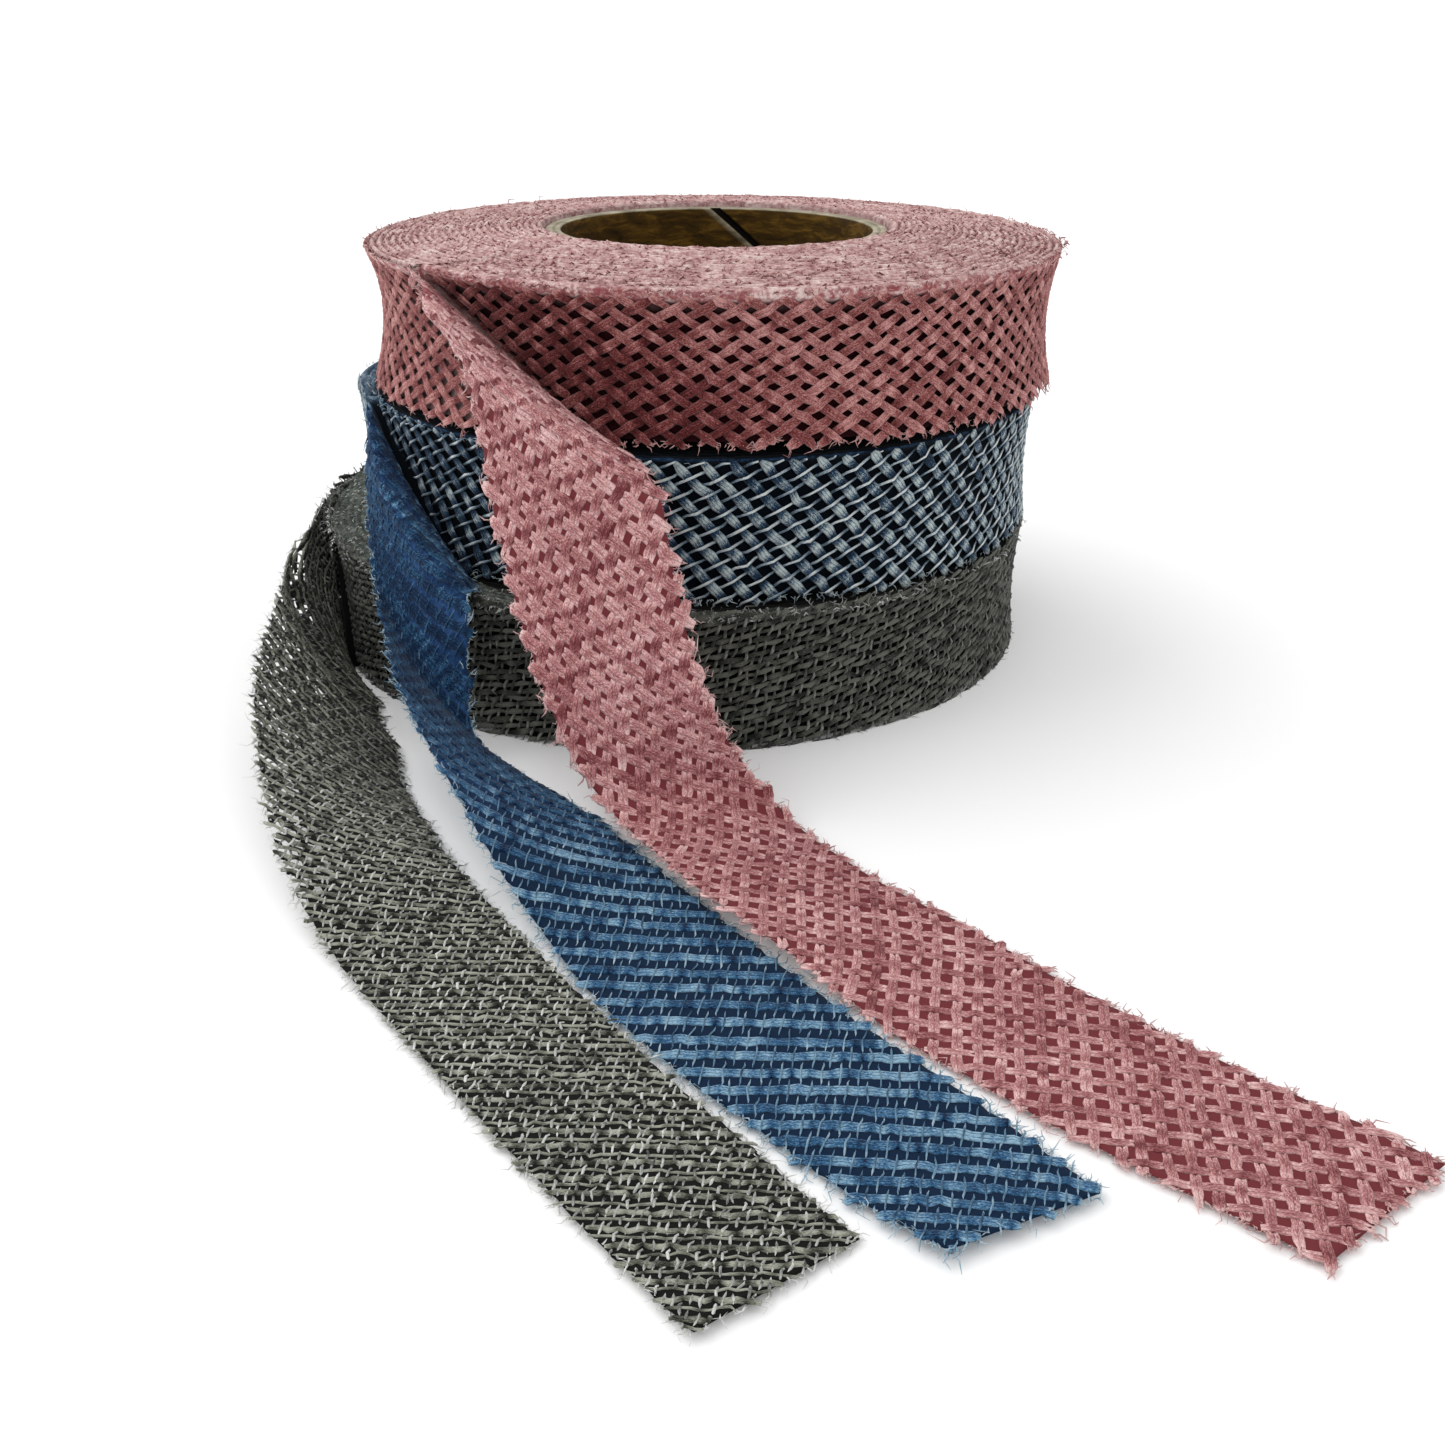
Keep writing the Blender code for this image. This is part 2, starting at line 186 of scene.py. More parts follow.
# The loose ends, row by row: left x, y, z; right x, y, z; bow away from the stack.
tails = {
    "pink": [
        (-27.0, -36.0, 42.6, -5.2, -47.7, 29.5, 2.4), (-25.3, -37.8, 36.5, -4.6, -49.6, 26.0, 2.2),
        (-23.0, -42.5, 25.5, -3.5, -52.5, 22.0, 1.2), (-19.0, -50.5, 14.0, -2.0, -56.0, 16.0, 0.5),
        (-14.5, -57.5, 6.0, 0.5, -58.5, 10.0, 0.0), (-10.5, -62.5, 2.4, 4.5, -59.5, 4.0, 0.0),
        (-6.0, -69.5, 2.0, 8.0, -62.0, 1.0, 0.0), (-1.5, -76.5, 2.0, 11.8, -67.5, lies, 0.0),
        (3.5, -83.0, 2.0, 16.3, -73.5, lies, 0.0), (8.8, -89.3, 1.2, 21.7, -79.2, lies, 0.0),
        (13.8, -95.6, lies, 26.5, -85.1, lies, 0.0), (19.2, -101.3, lies, 31.4, -90.8, lies, 0.0),
        (24.3, -106.6, lies, 36.7, -96.4, lies, 0.0), (29.5, -111.3, lies, 42.2, -101.8, lies, 0.0),
        (34.9, -116.1, lies, 47.6, -106.6, lies, 0.0), (40.3, -121.0, lies, 52.3, -111.2, lies, 0.0),
    ],
    "blue": [
        (-40.8, -20.5, 25.5, -26.2, -42.6, 14.5, 2.0), (-39.3, -28.0, 20.0, -26.4, -45.0, 8.5, 1.8),
        (-36.8, -38.0, 14.8, -25.4, -48.4, 3.5, 1.2), (-32.7, -50.8, 10.7, -20.0, -52.0, 0.9, 0.6),
        (-27.3, -62.0, 8.0, -15.0, -56.8, lies, 0.3), (-23.0, -70.0, 5.8, -10.8, -62.0, lies, 0.2),
        (-18.9, -77.0, 3.2, -6.6, -68.4, lies, 0.0), (-14.6, -83.4, 1.0, -2.0, -75.1, lies, 0.0),
        (-10.7, -90.0, lies, 2.6, -81.8, lies, 0.0), (-6.5, -96.2, lies, 7.2, -88.3, lies, 0.0),
        (-2.2, -101.8, lies, 12.2, -94.9, lies, 0.0), (3.0, -107.3, lies, 17.6, -101.5, lies, 0.0),
        (8.6, -113.6, lies, 22.6, -108.0, lies, 0.0), (15.6, -120.4, 1.2, 27.0, -114.6, 0.8, 0.0),
    ],
    "gray": [
        (-50.2, -28.0, 13.2, -35.0, -44.5, 0.9, 1.6), (-49.6, -43.0, 9.6, -32.6, -52.9, lies, 0.8),
        (-45.9, -57.8, 6.5, -29.4, -60.0, lies, 0.4), (-41.0, -71.5, 4.0, -26.0, -67.0, lies, 0.2),
        (-36.8, -79.4, 2.2, -21.9, -74.0, lies, 0.0), (-32.4, -85.9, 0.8, -17.4, -81.1, lies, 0.0),
        (-27.8, -92.3, lies, -12.6, -88.2, lies, 0.0), (-23.1, -98.6, lies, -7.7, -95.3, lies, 0.0),
        (-18.3, -105.0, lies, -2.8, -102.2, lies, 0.0), (-13.3, -111.6, lies, 2.3, -108.6, lies, 0.0),
        (-7.9, -118.5, lies, 6.8, -114.6, lies, 0.0), (-1.0, -127.0, 0.8, 10.2, -118.6, lies, 0.0),
    ],
}


def leavingAngle(roll, share):
    # Where the cloth leaves the wall: a straight line from the foot's angle to the top's.
    return roll["leaveFoot"] + (roll["leaveTop"] - roll["leaveFoot"]) * share


def wallRadius(roll, turn, share):
    # The rim's radius, less one layer a turn, less the draw-in between the rims, plus the ease
    # with which the last of the cloth stands off just before it leaves.
    pull = strip["pull"] * np.exp(-((np.minimum(abs(turn), abs(360.0 - turn)) / strip["pullReach"]) ** 2))
    drawnIn = roll["dip"] * (1 + pull) * (1 - (2 * share - 1) ** 2)
    beforeLeaving = (turn + 20.0 + 180.0) % 360.0 - 180.0
    ease = roll["ease"] * np.exp(-((beforeLeaving / 22.0) ** 2))
    return roll["radius"] - strip["layer"] * (1 - turn / 360.0) - drawnIn + ease


def onCylinder(roll, degrees, radius, height):
    # Points at radius * (cos, sin) of the angle about the roll's axis, at a height over its base.
    turned = np.radians(degrees)
    return np.stack(np.broadcast_arrays(roll["x"] + radius * np.cos(turned),
                                        roll["y"] + radius * np.sin(turned), roll["base"] + height), axis=-1)


def turnOver(roll, fold):
    # The soft fold: at each share of the half turn an edge stands fold/2 * sin along the wall and
    # fold/2 * (1 - cos) out from it, and has slipped on and dropped by a growing share. In the first
    # row the cloth is not free of the wall yet.
    rows = []
    sag = roll["radius"] * (1 - math.cos(math.radians((roll["leaveFoot"] - roll["leaveTop"]) / 2)))
    for share, freed in ((0.0, 0), (0.0, 1), (0.25, 1), (0.5, 1), (0.75, 1), (1.0, 1)):
        bend = share * math.pi
        along = strip["gap"] + 0.1 + freed * fold["free"]
        tangent = freed * fold["free"] ** 2 / (2 * roll["radius"])
        bulge = freed * (fold["stand"] + (fold["bulge"] - fold["stand"]) * (1 - math.cos(bend)) / 2)
        turned = (bend / math.pi) ** 1.5
        ends = []
        for edge, leave, height in (("top", "leaveTop", strip["width"] - 0.1),
                                    ("foot", "leaveFoot", roll["rim"] + 0.1)):
            reach = fold[edge] / 2
            shift = along + reach * math.sin(bend) + fold[edge + "Slip"] * turned
            out = tangent + reach * (1 - math.cos(bend)) - strip["cloth"] / 2
            ends.extend(onCylinder(roll, roll[leave] + math.degrees(shift / roll["radius"]),
                                   roll["radius"] + out, height - fold[edge + "Drop"] * turned))
        rows.append((*ends, sag - roll["dip"] * (1 + strip["pull"]) * (1 - math.sin(bend / 2)) + bulge))
    return rows


def smoothRows(rows, step):
    # Cubic pieces whose slopes come from the neighbouring rows, sampled about every step.
    rows = np.array(rows, float)
    moved = (np.linalg.norm(np.diff(rows[:, 0:3], axis=0), axis=1)
             + np.linalg.norm(np.diff(rows[:, 3:6], axis=0), axis=1)) / 2
    slopes = np.gradient(rows, np.concatenate([[0.0], np.cumsum(moved)]), axis=0)
    samples = []
    for index, length in enumerate(moved):
        pieces = max(2, round(length / step))
        share = (np.arange(pieces) / pieces)[:, None]
        samples.append((2 * share**3 - 3 * share**2 + 1) * rows[index]
                       + (share**3 - 2 * share**2 + share) * slopes[index] * length
                       + (3 * share**2 - 2 * share**3) * rows[index + 1]
                       + (share**3 - share**2) * slopes[index + 1] * length)
    return np.concatenate(samples + [rows[-1:]])


rulings = 13  # points across the cloth
middle = rulings // 2


def runLength(points):
    # The length along a line of points up to each of them.
    return np.concatenate([[0.0], np.cumsum(np.linalg.norm(np.diff(points, axis=0), axis=1))])


def smoothStep(value):
    # 0 below 0, 1 above 1, and 3 v^2 - 2 v^3 between.
    value = np.clip(value, 0.0, 1.0)
    return value * value * (3 - 2 * value)


def makeStrip(colour, lead=12.0, sink=0.42, step=0.4):
    # The middle of the cloth as a grid of rulings: row by row along the strip, points from foot
    # edge to top edge. First one whole turn on the wall and a lead of some degrees before it, sunk
    # inside the wall's face, then the turn-over and the loose end. step is the finished grid's.
    roll = rolls[colour]
    shares = np.linspace(0.0, 1.0, rulings)
    turn = np.linspace(-lead, 360.0, 250)[:, None]
    height = roll["rim"] + (strip["width"] - roll["rim"]) * shares
    wall = onCylinder(roll, leavingAngle(roll, shares) + turn, wallRadius(roll, turn, shares) - sink, height)
    leave = len(wall) - 1
    rows = smoothRows(turnOver(roll, folds[colour]) + tails[colour], 1.2)
    left, right, bow = rows[:, None, 0:3], rows[:, None, 3:6], rows[:, None, 6:7]
    outward = unit(((left + right) / 2 - (roll["x"], roll["y"], 0.0)) * (1.0, 1.0, 0.0))
    across = shares[None, :, None]
    loose = right + (left - right) * across + outward * bow * 4 * across * (1 - across)
    moved = runLength(loose[:, middle])
    loose = loose + (wall[-1] - loose[0]) * np.exp(-(moved / 6.0) ** 2)[:, None, None]
    loose[..., 2] = np.maximum(loose[..., 2], lies - 0.06)
    grid = np.concatenate([wall, loose[1:]])
    u = runLength(grid[:, middle])
    u = u - u[leave]
    along, sideways = np.gradient(grid, u, axis=0), np.gradient(grid, axis=1)
    normal = unit(np.cross(along, sideways))
    # How far each ruling slants along the cloth: by the lengths of the two edges near the turn-over,
    # and further on by the angle between the ruling and the strip's direction.
    ruling = grid[:, -1] - grid[:, 0]
    slant = -np.sum(ruling * unit(along[:, middle]), axis=1)
    foot, top = runLength(grid[:, 0]), runLength(grid[:, -1])
    slantByEdges = slant[leave - 5] + (foot - foot[leave]) - (top - top[leave])
    slant = slantByEdges + (slant - slantByEdges) * smoothStep((u - 25.0) / 40.0)
    slant[:leave] = slant[leave - 5]
    onCloth = u[:, None] + (0.5 - shares) * slant[:, None]
    # The same cloth on even steps along it, so that a straight line on the grid is one on the cloth.
    length = np.arange(onCloth.min(), onCloth.max(), step)
    count, column = np.arange(len(u)), np.arange(rulings)[None, :]
    row = np.stack([np.interp(length, line, count) for line in onCloth.T], axis=1)
    low = np.minimum(row.astype(int), len(u) - 2)
    share = (row - low)[..., None]
    fields = [values[low, column] * (1 - share) + values[low + 1, column] * share
              for values in (grid, normal)]
    return dict(colour=colour, roll=roll, shares=shares, length=length, grid=fields[0], normal=fields[1],
                past=np.interp(row, count, u)[..., None], begin=onCloth[0], end=onCloth[-1],
                leave=onCloth[leave], foldEnd=u[leave + 10], flatEnd=u[-1], turnLength=-u[0])


def readGrid(form, field, u, h):
    # Straight-line reading of a grid between its rows and columns; past an edge it runs on straight.
    values, length = form[field], form["length"]
    spacing = length[1] - length[0]
    row = np.clip(((u - length[0]) / spacing).astype(int), 0, len(length) - 2)
    share = ((u - length[row]) / spacing)[..., None]
    place = np.asarray(h) * (len(form["shares"]) - 1)
    column = np.clip(np.floor(place).astype(int), 0, len(form["shares"]) - 2)
    across = (place - column)[..., None]
    low = values[row, column] * (1 - share) + values[row + 1, column] * share
    high = values[row, column + 1] * (1 - share) + values[row + 1, column + 1] * share
    return low * (1 - across) + high * across


def onStrip(form, u, h, margin):
    # Whether a place lies on the strip, this far inside its two slanting ends.
    return ((u > np.interp(h, form["shares"], form["begin"]) + margin)
            & (u < np.interp(h, form["shares"], form["end"]) - margin))


# A family of yarns on the wound turn, where the cloth hangs, where it lies and at its end: its angle
# in degrees from the strip's length, its pitch and a yarn's width; then thickness and rise at a
# crossing, all in millimetres. relief is painted light and shade: how much paler a yarn is coloured
# where it lies on top, and darker where it dips under. mottle is how uneven the dye is, wander how
# far a yarn strays sideways.
pinkYarn = dict(thick=0.34, wave=0.1, method="across", steps=2, section="pair", mottle=0.1, wander=0.07)
weaves = {
    "pink": dict(
        first=dict(angle=(33.0, 31.4, 41.0, 59.0), pitch=(1.75, 1.62, 1.69, 1.66),
                   width=(0.98, 1.22, 0.92, 0.9), paintedRelief=(0.16, 0.34, 0.17, 0.17), **pinkYarn),
        second=dict(angle=(-33.0, -31.4, -46.0, -30.0), pitch=(1.75, 1.62, 1.8, 1.74),
                    width=(0.98, 1.3, 0.92, 0.9), paintedRelief=(0.16, 0.12, 0.17, 0.17), **pinkYarn)),
    "blue": dict(
        first=dict(angle=(27.0, 34.0, 38.0, 62.0), pitch=(1.25, 0.9, 0.79, 0.73),
                   width=(0.3, 0.22, 0.16, 0.16), paintedRelief=(0.46, 0.1, 0.2, 0.2), thick=0.22, wave=0.22,
                   method="across", steps=2, section="thread", mottle=0.13, wander=0.09),
        second=dict(angle=(-45.0, -40.0, -56.0, -44.0), pitch=(2.12, 1.5, 2.4, 1.9),
                    width=(1.1, 1.3, 1.24, 1.04), paintedRelief=(0.42, 0.12, 0.14, 0.14), thick=0.36, wave=0.05,
                    method="across", steps=1, section="bundle", mottle=0.18, wander=0.08)),
    "gray": dict(
        first=dict(angle=(76.0, 45.0, 38.0, 56.0), pitch=(0.95, 0.8, 0.7, 0.66),
                   width=(0.34, 0.36, 0.24, 0.22), paintedRelief=(0.26, 0.3, 0.2, 0.16), thick=0.2, wave=0.24,
                   method="across", steps=1, section="thread", mottle=0.2, wander=0.13),
        second=dict(angle=(12.0, -45.0, -58.0, -53.0), pitch=(0.8, 0.8, 0.95, 0.82),
                    width=(0.54, 0.42, 0.56, 0.56), paintedRelief=(0.26, 0.26, 0.26, 0.34), thick=0.34, wave=0.06,
                    method="along", steps=1, section="slub", mottle=0.2, wander=0.11)),
}
# Where yarns are cut, from the strip's own edges inwards, as shares of its width: between these two
# limits, but on the wound turn this far under the rim.
cutLimits = (-0.038, 0.012)
woundCut = {"pink": 0.016, "blue": 0.03}
# Painted light and shade where the cloth hangs: how much paler than where it lies the cloth is
# coloured there; below zero it is darker.
hangShade = {"pink": 0.03, "blue": -0.34, "gray": -0.2}
# Painted shade: how much darker the wall is coloured in the hollow behind its own turn-over.
turnOverShade = {"pink": 0.3, "blue": 0.3, "gray": 0.0}
# Outlines of a yarn's section: across and up, from -1 to 1.
sections = {
    "pair": [(1, 0), (0.62, 0.95), (0, 0.42), (-0.62, 0.95), (-1, 0), (-0.62, -0.95), (0, -0.42),
             (0.62, -0.95)],
    "bundle": [(1, 0), (0.66, 0.9), (0, 0.75), (-0.66, 0.9), (-1, 0), (-0.66, -0.9), (0, -0.75),
               (0.66, -0.9)],
    "slub": [(1, 0), (0.5, 0.87), (-0.5, 0.87), (-1, 0), (-0.5, -0.87), (0.5, -0.87)],
    "thread": [(1, 0), (0, 1), (-1, 0), (0, -1)],
    "hair": [(1, 0), (-0.5, 0.87), (-0.5, -0.87)],
}


def wallToTail(onWall, past):
    # A value on the wall that fades to nothing in the last 4 mm before the cloth leaves.
    return onWall - onWall * smoothStep((past + 4.0) / 4.0)


def zoned(values, past):
    # The wound, hanging, lying and end values in turn, moving from one to the next along the strip.
    return (values[0] + (values[1] - values[0]) * smoothStep((past + 8.0) / 18.0)
            + (values[2] - values[1]) * smoothStep((past - 35.0) / 30.0)
            + (values[3] - values[2]) * np.clip((past - 70.0) / 50.0, 0.0, 1.0))


def familyPhase(form, family):
    # Counts yarns: a along the cloth and b from foot edge to top edge, so that a yarn's number is
    # a(u) + b(u) * (h - 0.5). Its gradient is 1/pitch, at right angles to the yarns.
    length = form["length"]
    angle = np.radians(zoned(family["angle"], length))
    pitch = zoned(family["pitch"], length)
    rate = -np.sin(angle) / pitch
    a = np.concatenate([[0.0], np.cumsum((rate[1:] + rate[:-1]) / 2 * np.diff(length))])
    return a, np.cos(angle) / pitch * strip["width"]


def traceFamily(form, family, phase, other, overhang, seed):
    # The course of each yarn as points (u, h), a few to each crossing with the other family: u is
    # solved for even steps of h, or h for even steps of u, from a(u) + b(u) * (h - 0.5) = number.
    randoms = np.random.default_rng(seed)
    length = form["length"]
    courses = []
    if family["method"] == "across":
        level = np.linspace(-overhang, 1 + overhang, 81)
        middle = len(level) // 2
        numbers = phase[0][:, None] + phase[1][:, None] * (level - 0.5)
        first, last = int(np.ceil(numbers.min())), int(np.floor(numbers.max()))
        wanted = np.arange(first, last + 1) + randoms.normal(0.0, 0.05, last - first + 1)
        rising = numbers[-1, middle] > numbers[0, middle]
        order = slice(None) if rising else slice(None, None, -1)
        us = np.full((len(wanted), len(level)), np.nan)
        for column in range(len(level)):
            table = numbers[:, column]
            inside = (wanted > table.min()) & (wanted < table.max())
            us[inside, column] = np.interp(wanted[inside], table[order], length[order])
        for row in range(len(wanted)):
            keep = ~np.isnan(us[row])
            if keep.sum() > 3:
                courses.append((first + row, us[row, keep], level[keep]))
    else:
        fine = np.arange(length[0], length[-1], 0.25)
        a, b = np.interp(fine, length, phase[0]), np.interp(fine, length, phase[1])
        edges = np.concatenate([a - b * (0.5 + overhang), a + b * (0.5 + overhang)])
        for number in range(int(np.ceil(edges.min())), int(np.floor(edges.max())) + 1):
            h = 0.5 + (number + randoms.normal(0.0, 0.05) - a) / b
            inside = (h > -overhang) & (h < 1 + overhang)
            runs = np.split(np.arange(len(fine)), np.flatnonzero(np.diff(inside.astype(int))) + 1)
            for run in runs:
                if inside[run[0]] and len(run) > 4:
                    courses.append((number, fine[run], h[run]))
    traced = []
    for number, u, h in courses:
        crossing = np.interp(u, length, other[0]) + np.interp(u, length, other[1]) * (h - 0.5)
        if crossing[-1] < crossing[0]:
            crossing, u, h = crossing[::-1], u[::-1], h[::-1]
        # cut at the strip's own edges and ends, each yarn a little longer or shorter than the next
        low, high = randoms.uniform(*cutLimits, 2)
        high = np.where(u < -4.0, woundCut.get(form["colour"], high), high)
        keep = (h > low) & (h < 1 - high) & onStrip(form, u, np.clip(h, 0, 1), randoms.uniform(0.1, 0.7))
        if keep.sum() < 3:
            continue
        crossing, u, h = crossing[keep], u[keep], h[keep]
        steps, spare = family["steps"], 0.12
        marks = np.arange(np.ceil(crossing[0] * steps), np.floor(crossing[-1] * steps) + 1) / steps
        marks = marks[(marks > crossing[0] + spare) & (marks < crossing[-1] - spare)]
        marks = np.concatenate([[crossing[0]], marks, [crossing[-1]]])
        traced.append((number, marks, np.interp(marks, crossing, u), np.interp(marks, crossing, h)))
    return traced


def weaveFamily(form, which, seed):
    # Lays one family's yarns on the cloth: each is over and under the other family in turn, by
    # wave * cos(pi * crossing), its sign changing from yarn to yarn. In the gray cloth it is
    # wave * cos(2 * pi * (thread / 3 + yarn / 2)), so that a yarn goes over two threads, under one.
    weave = weaves[form["colour"]]
    family, otherFamily = weave[which], weave["second" if which == "first" else "first"]
    phase, other = familyPhase(form, family), familyPhase(form, otherFamily)
    sign = 1.0 if which == "first" else -1.0
    randoms = np.random.default_rng(seed)
    yarns = []
    for run, (number, marks, u, h) in enumerate(traceFamily(form, family, phase, other, 0.03, seed)):
        # every other weft yarn of the gray cloth is finer and paler
        fineOne = form["colour"] == "gray" and which == "second" and number % 2
        h = h + randoms.normal(0, family["wander"] / strip["width"], len(u))
        u = u + randoms.normal(0, family["wander"], len(u))
        if form["colour"] == "gray":
            thread, yarn = (number, marks) if which == "first" else (marks, number)
            over = sign * np.cos(2 * np.pi * (thread / 3 + yarn / 2))
        else:
            over = sign * (-1) ** number * np.cos(np.pi * marks)
        slub = (1 + 0.1 * np.sin(marks * 0.9 + number * 2.1) + randoms.normal(0, 0.07, len(marks))
                + (0.36 if family["section"] == "slub" else 0.07) * over)
        normal = unit(readGrid(form, "normal", u, h))
        centre = readGrid(form, "grid", u, h) + normal * (family["wave"] * over)[:, None]
        past = readGrid(form, "past", u, h)[:, 0]
        yarnTone, spots = randoms.normal(0, 0.06), randoms.normal(0, 1, len(marks))
        tone = (0.5 + yarnTone + spots * family["mottle"] * zoned((1.0, 0.5, 1.0, 1.0), past)
                # painted light and shade where the cloth hangs
                + zoned((0.0, hangShade[form["colour"]], 0.0, 0.0), past) + (0.25 if fineOne else 0.0)
                # painted light where a yarn lies on top, painted shade where it dips under
                + zoned(family["paintedRelief"], past) * over
                # painted shade in the hollow behind the turn-over
                - turnOverShade[form["colour"]] * smoothStep((40.0 - form["turnLength"] - past) / 25.0))
        tone[[0, -1]] += 0.35  # the two cut ends are paler
        width = (zoned(family["width"], past) / 2 * slub
                 * (zoned((0.9, 0.9, 0.85, 0.4), past) if fineOne else 1.0))
        thick = np.full(len(u), family["thick"] / 2 * (0.8 if fineOne else 1.0))
        yarns.append((centre, normal, width, thick, runLength(centre) + randoms.uniform(0, 30),
                      np.clip(tone, 0, 1), wallToTail(1.0, past), np.full(len(u), run)))
    names = ("centre", "normal", "width", "thick", "along", "tone", "wall", "run")
    return {name: np.concatenate(values) for name, values in zip(names, zip(*yarns))}


def yarnEnds(run):
    # Which points are joined to the next of their yarn, and which are a yarn's first and last.
    joined = run[1:] == run[:-1]
    return joined, np.concatenate([[True], ~joined]), np.concatenate([~joined, [True]])


def sweepYarns(name, yarns, section, material, slot):
    # Carries a section along every yarn: point = centre + side * width * across + normal * thick * up.
    outline = np.array(sections[section])
    centre = yarns["centre"]
    joined, first, last = yarnEnds(yarns["run"])
    tangent = np.zeros_like(centre)
    tangent[:-1][joined] += (centre[1:] - centre[:-1])[joined]
    tangent[1:][joined] += (centre[1:] - centre[:-1])[joined]
    tangent = unit(tangent, 1e-9)
    side = unit(np.cross(yarns["normal"], tangent), 1e-9)
    up = np.cross(tangent, side)
    slim = np.where(first | last, 0.6, 1.0)
    count = len(outline)
    points = (centre[:, None] + side[:, None] * (yarns["width"] * slim)[:, None, None] * outline[None, :, 0:1]
              + up[:, None] * (yarns["thick"] * slim)[:, None, None] * outline[None, :, 1:2])
    start = np.flatnonzero(joined)[:, None] * count
    ring = np.arange(count)
    after = (ring + 1) % count
    quads = np.stack([start + ring, start + after, start + count + after, start + count + ring], axis=-1)
    faces = quads.reshape(-1, 4).tolist()
    faces += (np.flatnonzero(first)[:, None] * count + ring[::-1]).tolist()
    faces += (np.flatnonzero(last)[:, None] * count + ring).tolist()
    fibre = np.stack(np.broadcast_arrays(yarns["along"][:, None], *outline.T[:, None]), axis=-1)
    return addPiece(name, points.reshape(-1, 3), faces, material, slot, fibre=fibre.reshape(-1, 3),
                    tone=np.repeat(yarns["tone"], count), wall=np.repeat(yarns["wall"], count))


# Loosely spun cotton yarn, dyed in the piece. It scatters light softly with no gloss; the
# fibres twist round the yarn, the dye is uneven from yarn to yarn, and hollows stay dark.
# strands is how many lie side by side in one yarn, groove how dark the hollow between them is
# painted as shade, and edge how much paler a yarn's two sides are painted as a highlight.
# The wall's colours are darker than the loose end's, in part as painted shade on the wound roll.
yarnColours = {
    "pink": dict(wall=("#421719", "#844645", "#cf9a96"),
                 tail=("#70363a", "#b5797a", "#ecc8c5"), strands=2, grooveShade=0.42, edge=0.55),
    "blueYarn": dict(wall=("#071320", "#2b4660", "#b2bfc0"),
                     tail=("#10233f", "#396890", "#93b5c9"), strands=3, grooveShade=0.7, edge=0.2),
    "blueThread": dict(wall=("#13222f", "#74899a", "#dbe1e0"),
                       tail=("#1c3858", "#6c95b0", "#c3d6e0"), strands=1, grooveShade=0.0, edge=0.0),
    "grayYarn": dict(wall=("#10110f", "#343530", "#62635c"),
                     tail=("#252723", "#6a6c60", "#a9aa9d"), strands=1, grooveShade=0.0, edge=0.25),
    "grayThread": dict(wall=("#1b1d1b", "#42443f", "#83857e"),
                       tail=("#303332", "#b2b5b0", "#f0f1ee"), strands=1, grooveShade=0.0, edge=0.0),
}


def yarnMaterial(name, colours):
    # Dyed cotton yarn: tone + 2.2 * (fleck - 0.5) picks its colour from three, for the wall or for the
    # loose end. Hollows between its strands are darker as painted shade, and its two sides paler as a
    # painted highlight of loose fibres catching the light.
    material, tree, shader = startMaterial(name, Roughness=0.95, Specular_IOR_Level=0.05, Sheen_Weight=0.08,
                                           Sheen_Roughness=0.5)
    fibre = addNode(tree, "Attribute", out="Vector", attribute_name="fibre")
    tone, wall = [addNode(tree, "Attribute", out="Fac", attribute_name=key) for key in ("tone", "wall")]
    # fibres run along the yarn, drawn about 0.15 mm apart, coarser than real so that they show
    stretch = addNode(tree, "Mapping", {"Vector": fibre, "Scale": (1.6, 2.2, 0.8)})
    fleck = addNode(tree, "TexNoise", {"Vector": stretch, "Scale": 2.6, "Detail": 4.0, "Roughness": 0.7})
    fleckPart = addNode(tree, "Math", {0: fleck, 1: 0.5}, operation="SUBTRACT")
    mixed = addNode(tree, "Math", {0: fleckPart, 1: 2.2, 2: tone}, operation="MULTIPLY_ADD")
    lying, wound = [addNode(tree, "ValToRGB", {"Fac": mixed}, stops=list(zip((0.1, 0.5, 0.9), colours[key])))
                    for key in ("tail", "wall")]
    colour = addNode(tree, "Mix", {"Factor": wall, 6: lying, 7: wound}, **inColour)
    # strands side by side, with painted shade in the hollows between them:
    # |sin(pi * strands * (across + 1) / 2)| is 0 in the hollows, 1 on the strands
    across = addNode(tree, "SeparateXYZ", {"Vector": fibre}, out="Y")
    quarter = math.pi / 2 * colours["strands"]
    turned = addNode(tree, "Math", {0: across, 1: quarter, 2: quarter}, operation="MULTIPLY_ADD")
    wave = addNode(tree, "Math", {0: turned}, operation="SINE")
    ridge = addNode(tree, "Math", {0: wave}, operation="ABSOLUTE")
    shade = addNode(tree, "MapRange", {"Value": ridge, "From Min": 0.0, "From Max": 0.6,
                                       "To Min": 1.0 - colours["grooveShade"], "To Max": 1.0})
    colour = addNode(tree, "Mix", {"Factor": 1.0, 6: colour, 7: shade}, **inColour, blend_type="MULTIPLY")
    # painted highlight: loose fibres catch the light along a yarn's two sides, where it lies on top
    side = addNode(tree, "Math", {0: across}, operation="ABSOLUTE")
    onTop = addNode(tree, "MapRange", {"Value": tone, "From Min": 0.25, "From Max": 0.65})
    sideHighlight = addNode(tree, "MapRange", {"Value": side, "From Min": 0.62, "From Max": 0.95,
                                          "To Min": 0.0, "To Max": colours["edge"]})
    share = addNode(tree, "Math", {0: sideHighlight, 1: onTop}, operation="MULTIPLY")
    pale = [srgb(colours[key][2]) for key in ("tail", "wall")]
    pale = addNode(tree, "Mix", {"Factor": wall, 6: pale[0], 7: pale[1]}, **inColour)
    colour = addNode(tree, "Mix", {"Factor": share, 6: colour, 7: pale}, **inColour)
    bump = addNode(tree, "Bump", {"Height": fleck, "Strength": 0.6, "Distance": 0.00012})
    tree.links.new(colour, shader.inputs["Base Color"])
    tree.links.new(bump, shader.inputs["Normal"])
    return material
